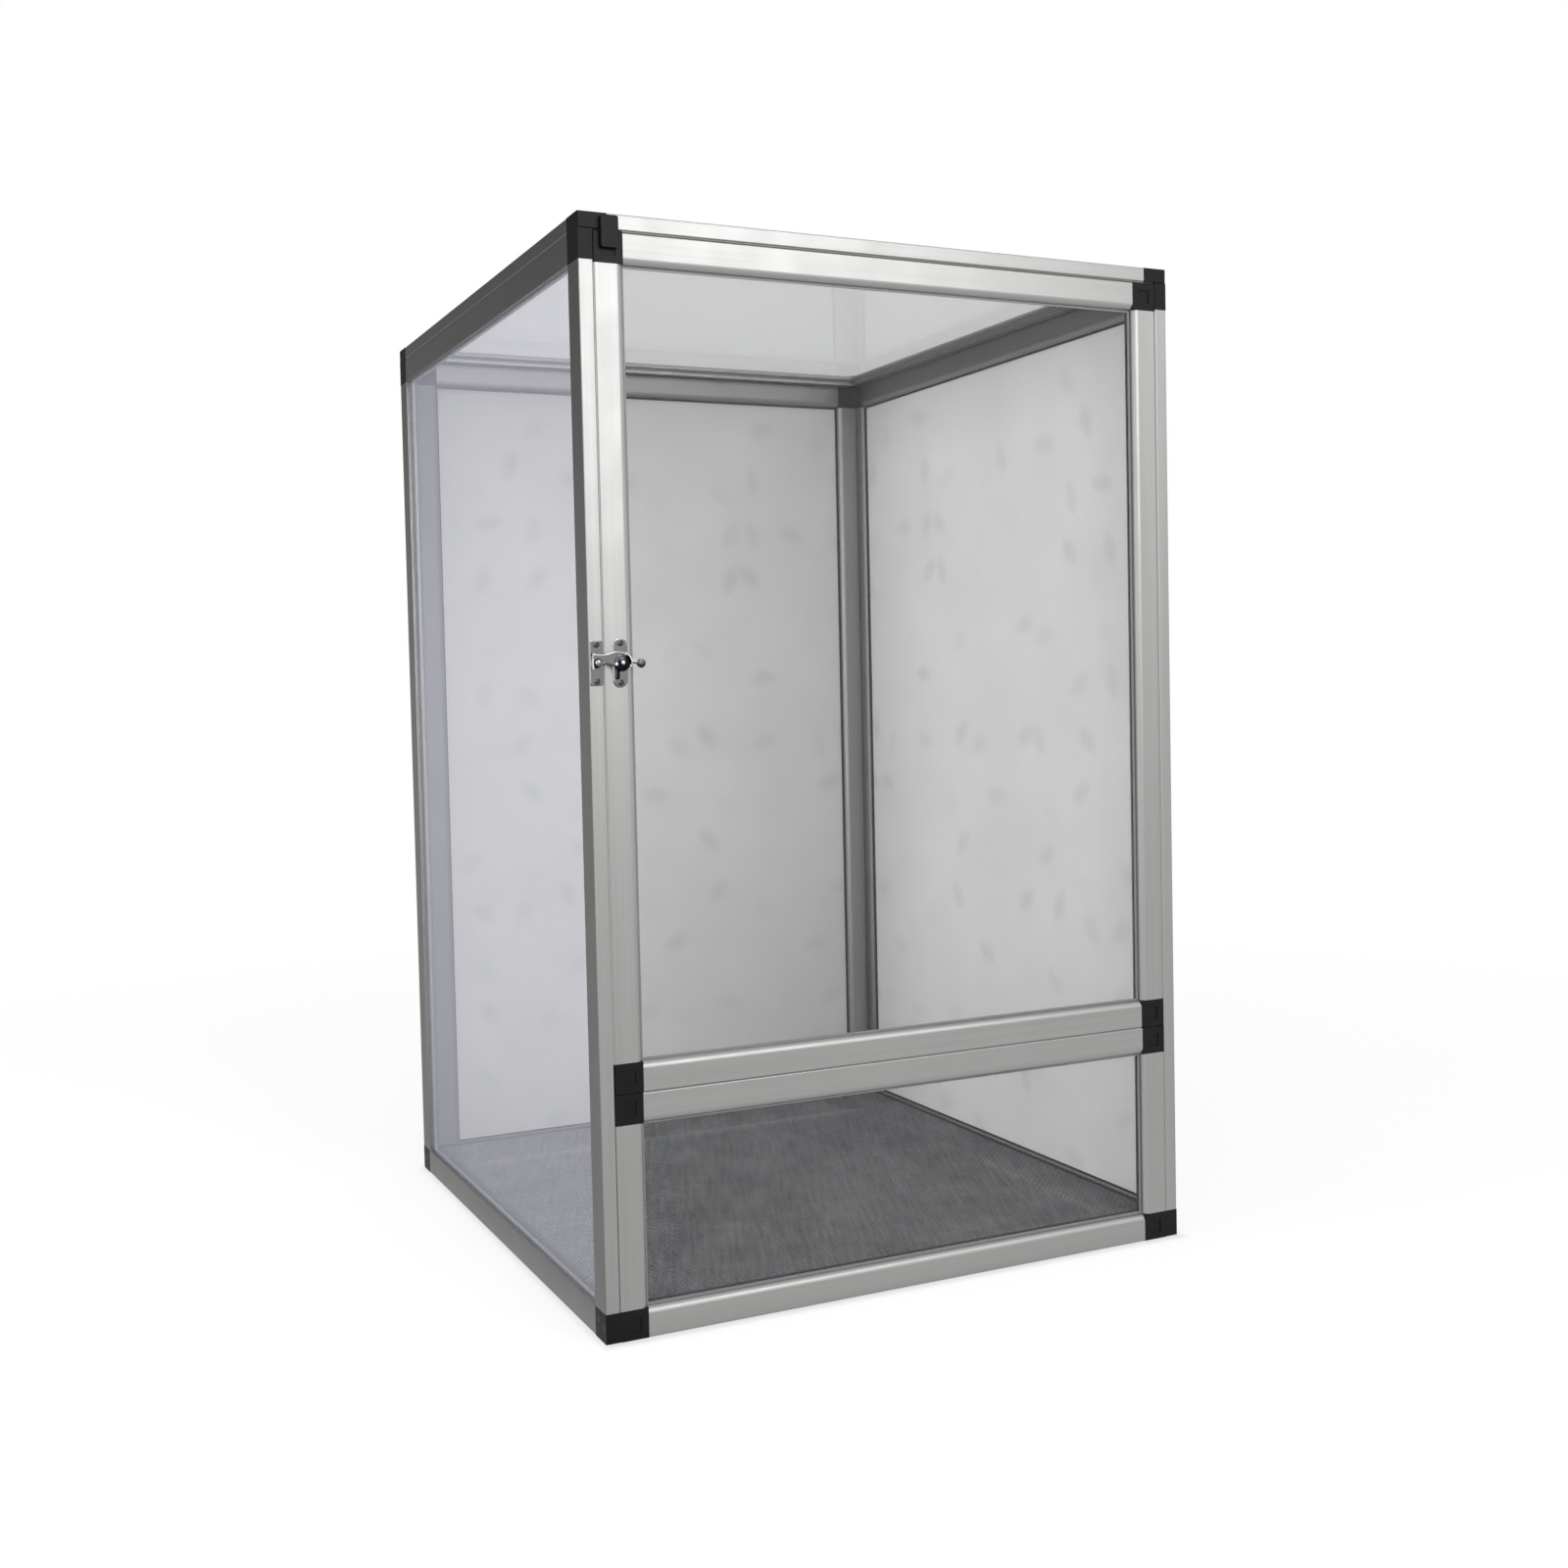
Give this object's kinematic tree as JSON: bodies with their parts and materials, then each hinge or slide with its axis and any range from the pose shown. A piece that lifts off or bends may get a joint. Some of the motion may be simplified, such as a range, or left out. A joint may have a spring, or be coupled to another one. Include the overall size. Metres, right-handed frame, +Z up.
{
  "type": "reptile terrarium",
  "caption": "Tall framed cage of flat aluminium bar with black corner blocks, clear latched door, fixed sill, clear left wall and lid, white back and right boards, mesh floor.",
  "frame": {"origin": "on the ground, under the centre of the whole part's bounding box", "axes": "+Z up, -Y towards the front with the door, +X to the right seen from the front"},
  "size_m": [0.51, 0.5192, 0.8],
  "materials": {
    "anodised_aluminium": "satin, clear anodised, drawn lengthwise",
    "black_plastic": "moulded, slight sheen",
    "blackened_steel": "black oxide",
    "clear_pane": "clear, polished",
    "white_board": "matt, off-white, faint leaf print",
    "wire_mesh": "grey coated woven wire",
    "rubber_seal": "matt black",
    "chromed_steel": "polished chrome"
  },
  "bodies": {
    "cage": {"left_top_rail": "anodised_aluminium", "left_bottom_rail": "anodised_aluminium", "left_front_post": "anodised_aluminium", "left_back_post": "anodised_aluminium", "left_corners": "black_plastic", "left_pane": "clear_pane", "left_seal": "rubber_seal", "right_top_rail": "anodised_aluminium", "right_bottom_rail": "anodised_aluminium", "right_front_post": "anodised_aluminium", "right_back_post": "anodised_aluminium", "right_corners": "black_plastic", "right_board": "white_board", "right_seal": "rubber_seal", "back_top_rail": "anodised_aluminium", "back_bottom_rail": "anodised_aluminium", "back_left_post": "anodised_aluminium", "back_right_post": "anodised_aluminium", "back_corners": "black_plastic", "back_board": "white_board", "back_seal": "rubber_seal", "lid_front_rail": "anodised_aluminium", "lid_back_rail": "anodised_aluminium", "lid_left_rail": "anodised_aluminium", "lid_right_rail": "anodised_aluminium", "lid_corners": "black_plastic", "lid_pane": "clear_pane", "lid_seal": "rubber_seal", "floor_front_rail": "anodised_aluminium", "floor_back_rail": "anodised_aluminium", "floor_left_rail": "anodised_aluminium", "floor_right_rail": "anodised_aluminium", "floor_corners": "black_plastic", "floor_mesh": "wire_mesh", "floor_strip": "rubber_seal", "sill_top_rail": "anodised_aluminium", "sill_bottom_rail": "anodised_aluminium", "sill_left_post": "anodised_aluminium", "sill_right_post": "anodised_aluminium", "sill_corners": "black_plastic", "sill_pane": "clear_pane", "sill_seal": "rubber_seal", "hinge_pins": "chromed_steel", "frame_screws": "blackened_steel", "keeper_plate": "chromed_steel", "keeper_screws": "chromed_steel"},
    "door": {"door_top_rail": "anodised_aluminium", "door_bottom_rail": "anodised_aluminium", "door_latch_stile": "anodised_aluminium", "door_hinge_stile": "anodised_aluminium", "door_corners": "black_plastic", "door_pane": "clear_pane", "door_seal": "rubber_seal", "door_tab": "black_plastic", "latch_plate": "chromed_steel", "latch_screws": "chromed_steel", "latch_rivet": "chromed_steel"},
    "latch_arm": {"latch_arm": "chromed_steel"}
  },
  "joints": [
    {"name": "door_swing", "type": "hinge", "parent": "cage", "child": "door", "pos_m": [0.2355, -0.24755, 0.48], "axis": [0, 0, 1], "range_deg": [0, 130]},
    {"name": "latch_turn", "type": "hinge", "parent": "door", "child": "latch_arm", "pos_m": [-0.2315, -0.25435, 0.486], "axis": [0, 1, 0], "range_deg": [0, 90]}
  ]
}
